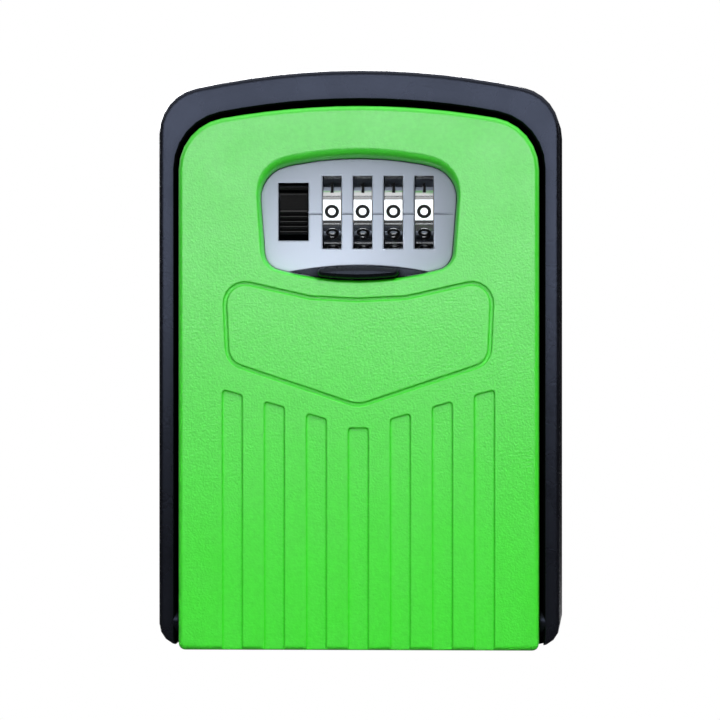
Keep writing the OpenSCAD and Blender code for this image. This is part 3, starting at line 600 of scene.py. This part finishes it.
def add_digits(index, finishes):
    """The ten digits of one dial as one piece that turns with it."""
    low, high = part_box(f"dial_{index}")
    middle = (low + high) / 2
    reach = (high.y - low.y) / 2
    mesh = bmesh.new()
    for digit, strokes in enumerate(DIGITS):
        turn = 2 * math.pi * digit / len(DIGITS)
        out = Vector((0, -math.cos(turn), math.sin(turn)))
        up = Vector((0, math.sin(turn), math.cos(turn)))

        def place(x, y, height):
            return middle + Vector((x, 0, 0)) + up * (y - DIGIT_DROP) + out * (reach + height)

        for points in strokes:
            scaled = [(x * DIGIT_W, y * DIGIT_H) for x, y in points]
            stroke(mesh, scaled, BORDER, place, CHROME)
            stroke(mesh, scaled, INK, place, BLACK)
    bmesh.ops.recalc_face_normals(mesh, faces=mesh.faces)
    data = bpy.data.meshes.new(f"dial_{index}_digits")
    mesh.to_mesh(data)
    mesh.free()
    for material in ("dial_chrome", "digit_black"):
        data.materials.append(finishes[material])
    piece = bpy.data.objects.new(data.name, data)
    bpy.context.scene.collection.objects.link(piece)
    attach(piece, f"dial_body_{index}")


# Floor: pale under the object, and white to the eye further out. Its bounce, the share of light
# that it sends up, is small in front, where it would grey the housing, and larger behind.

FLOOR_Z = -120 * MM
FLOOR_R = 0.9
FLOOR_SIDES = 96
FLOOR_TONE = 0.86
FLOOR_ROUGHNESS = 0.9
FLOOR_SPECULAR = 0.1
FLOOR_BOUNCE = 0.05
FLOOR_BOUNCE_BEHIND = 0.5
# How far back the bounce goes from one to the other, and how far out the white comes up
BOUNCE_SPAN = (0.1, 0.4)
WHITE_SPAN = (0.12, 0.32)


def make_floor_material():
    """The camera sees its tone and, further out, white; light meets only its bounce."""
    material = bpy.data.materials.new("floor")
    material.use_nodes = True
    tree = material.node_tree
    link = tree.links.new
    path = tree.nodes.new("ShaderNodeLightPath")
    coordinates = tree.nodes.new("ShaderNodeTexCoord")

    depth = tree.nodes.new("ShaderNodeSeparateXYZ")
    link(coordinates.outputs["Object"], depth.inputs["Vector"])
    bounce = remap(tree, depth.outputs["Y"], BOUNCE_SPAN, (FLOOR_BOUNCE, FLOOR_BOUNCE_BEHIND))
    tone = tree.nodes.new("ShaderNodeMapRange")
    tone.inputs["To Max"].default_value = FLOOR_TONE
    link(bounce, tone.inputs["To Min"])
    link(path.outputs["Is Camera Ray"], tone.inputs["Value"])
    shader = shader_of(tree)
    shader.inputs["Roughness"].default_value = FLOOR_ROUGHNESS
    shader.inputs["Specular IOR Level"].default_value = FLOOR_SPECULAR
    link(tone.outputs["Result"], shader.inputs["Base Color"])

    distance = tree.nodes.new("ShaderNodeVectorMath")
    distance.operation = "LENGTH"
    link(coordinates.outputs["Object"], distance.inputs[0])
    share = tree.nodes.new("ShaderNodeMath")
    share.operation = "MULTIPLY"
    link(remap(tree, distance.outputs["Value"], WHITE_SPAN), share.inputs[0])
    link(path.outputs["Is Camera Ray"], share.inputs[1])
    white = tree.nodes.new("ShaderNodeEmission")
    mix = tree.nodes.new("ShaderNodeMixShader")
    link(share.outputs["Value"], mix.inputs["Fac"])
    link(shader.outputs["BSDF"], mix.inputs[1])
    link(white.outputs["Emission"], mix.inputs[2])
    output = next(n for n in tree.nodes if n.type == "OUTPUT_MATERIAL")
    link(mix.outputs["Shader"], output.inputs["Surface"])
    return material


def add_floor():
    """A round floor below the box that runs out into the white background."""
    mesh = bmesh.new()
    bmesh.ops.create_circle(mesh, cap_ends=True, segments=FLOOR_SIDES, radius=FLOOR_R)
    data = bpy.data.meshes.new("floor")
    mesh.to_mesh(data)
    mesh.free()
    data.materials.append(make_floor_material())
    floor = bpy.data.objects.new("floor", data)
    floor.location.z = FLOOR_Z
    bpy.context.scene.collection.objects.link(floor)


add_camera()
add_world()
add_lamps()
finishes = make_finishes()
dress_nodes(finishes)
for index in (1, 2, 3, 4):
    add_digits(index, finishes)
add_floor()
bpy.context.scene.view_settings.view_transform = "Standard"
